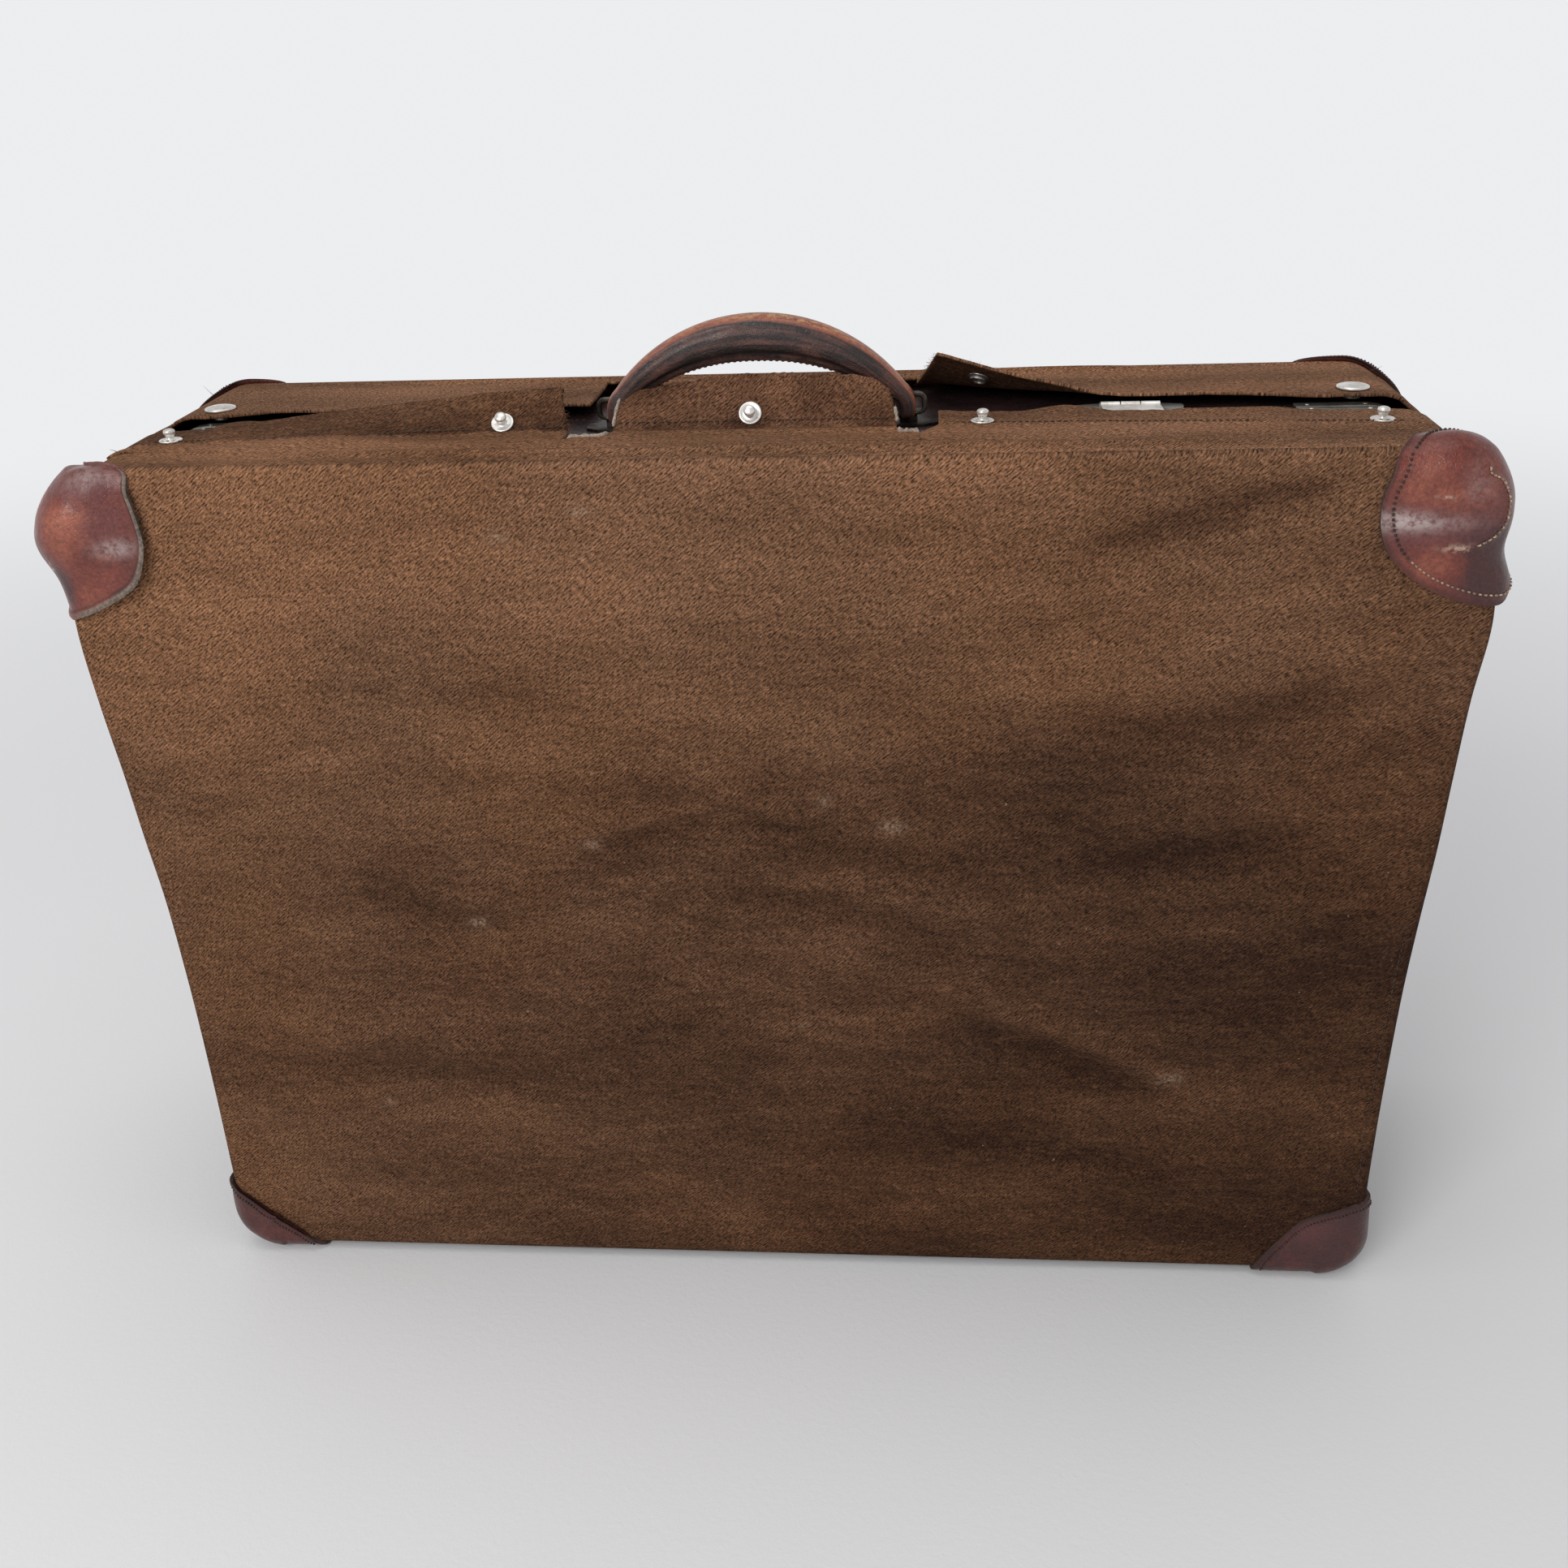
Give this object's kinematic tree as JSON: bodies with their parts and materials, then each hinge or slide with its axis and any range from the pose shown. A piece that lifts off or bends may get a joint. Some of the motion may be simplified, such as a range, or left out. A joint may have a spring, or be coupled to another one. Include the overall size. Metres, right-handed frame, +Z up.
{
  "type": "suitcase in a canvas travel cover",
  "caption": "Upright leather suitcase in a fitted canvas cover with leather corner caps, press-studded top flaps, a swinging handle and hasp locks.",
  "frame": {"origin": "centre of the footprint, on the surface that the corner caps stand on", "axes": "+X along the width to the right seen from the front, -Y towards the front, the handle half of the case, +Z up"},
  "size_m": [0.667, 0.197, 0.5275],
  "materials": {
    "canvas": "worn brown cotton twill, matt, stained and creased",
    "cap_leather": "oxblood leather, polished by wear, dark raw edges",
    "grip_leather": "dry cracked leather, reddish along the top",
    "case_leather": "nearly black hide, satin",
    "nickel": "nickel plate, bright and slightly tarnished",
    "steel": "dull plated steel"
  },
  "bodies": {
    "case_and_cover": {"cover_front_panel": "canvas", "cover_back_panel": "canvas", "cover_gusset": "canvas", "cover_front_top_strip": "canvas", "cover_rear_top_strip": "canvas", "corner_cap_top_front_left": "cap_leather", "corner_cap_top_front_right": "cap_leather", "corner_cap_top_rear_left": "cap_leather", "corner_cap_top_rear_right": "cap_leather", "corner_cap_bottom_front_left": "cap_leather", "corner_cap_bottom_front_right": "cap_leather", "corner_cap_bottom_rear_left": "cap_leather", "corner_cap_bottom_rear_right": "cap_leather", "case_base_shell": "case_leather", "case_lid_shell": "case_leather", "corner_guard_base_left": "nickel", "corner_guard_base_right": "nickel", "corner_guard_lid_left": "nickel", "corner_guard_lid_right": "nickel", "lock_box_left": "nickel", "lock_box_right": "nickel", "hasp_plate_left": "nickel", "hasp_plate_right": "nickel", "hasp_pin_left": "steel", "hasp_pin_right": "steel", "hinge_leaf_base_left": "steel", "hinge_leaf_base_right": "steel", "hinge_leaf_lid_left": "steel", "hinge_leaf_lid_right": "steel", "hinge_pin_left": "steel", "hinge_pin_right": "steel", "handle_bracket_left": "nickel", "handle_bracket_right": "nickel"},
    "handle": {"handle_grip": "grip_leather", "handle_ring_left": "nickel", "handle_ring_right": "nickel"},
    "front_flap_left": {"front_flap_left": "canvas", "press_stud_1": "nickel", "press_stud_2": "nickel"},
    "front_centre_tab": {"front_centre_tab": "canvas", "press_stud_3": "nickel"},
    "front_flap_right": {"front_flap_right": "canvas", "press_stud_4": "nickel", "press_stud_5": "nickel"},
    "rear_flap_left": {"rear_flap_left": "canvas", "snap_cap_1": "nickel", "snap_socket_1": "steel", "snap_cap_2": "nickel", "snap_socket_2": "steel"},
    "rear_centre_tab": {"rear_centre_tab": "canvas", "snap_cap_3": "nickel", "snap_socket_3": "steel"},
    "rear_flap_right": {"rear_flap_right": "canvas", "snap_cap_4": "nickel", "snap_socket_4": "steel", "snap_cap_5": "nickel", "snap_socket_5": "steel"},
    "hasp_left": {"hasp_left": "nickel"},
    "hasp_right": {"hasp_right": "nickel"}
  },
  "joints": [
    {"name": "handle_swing", "type": "hinge", "parent": "case_and_cover", "child": "handle", "pos_m": [-0.003, 0.002, 0.4775], "axis": [-1, 0, 0], "range_deg": [-15, 45]},
    {"name": "front_flap_left_fold", "type": "hinge", "parent": "case_and_cover", "child": "front_flap_left", "pos_m": [-0.205, -0.0622, 0.4804], "axis": [1, 0, 0], "range_deg": [0, 100]},
    {"name": "front_tab_fold", "type": "hinge", "parent": "case_and_cover", "child": "front_centre_tab", "pos_m": [-0.003, -0.0342, 0.4804], "axis": [1, 0, 0], "range_deg": [-60, 40]},
    {"name": "front_flap_right_fold", "type": "hinge", "parent": "case_and_cover", "child": "front_flap_right", "pos_m": [0.201, -0.0622, 0.4804], "axis": [1, 0, 0], "range_deg": [0, 150]},
    {"name": "rear_flap_left_fold", "type": "hinge", "parent": "case_and_cover", "child": "rear_flap_left", "pos_m": [-0.205, 0.07, 0.4804], "axis": [-1, 0, 0], "range_deg": [0, 145]},
    {"name": "rear_tab_fold", "type": "hinge", "parent": "case_and_cover", "child": "rear_centre_tab", "pos_m": [-0.003, 0.07, 0.4804], "axis": [-1, 0, 0], "range_deg": [0, 150]},
    {"name": "rear_flap_right_fold", "type": "hinge", "parent": "case_and_cover", "child": "rear_flap_right", "pos_m": [0.201, 0.07, 0.4804], "axis": [-1, 0, 0], "range_deg": [0, 145]},
    {"name": "hasp_left_lift", "type": "hinge", "parent": "case_and_cover", "child": "hasp_left", "pos_m": [-0.183, 0.0155, 0.4757], "axis": [-1, 0, 0], "range_deg": [0, 105]},
    {"name": "hasp_right_lift", "type": "hinge", "parent": "case_and_cover", "child": "hasp_right", "pos_m": [0.183, 0.0155, 0.4757], "axis": [-1, 0, 0], "range_deg": [0, 105]}
  ]
}
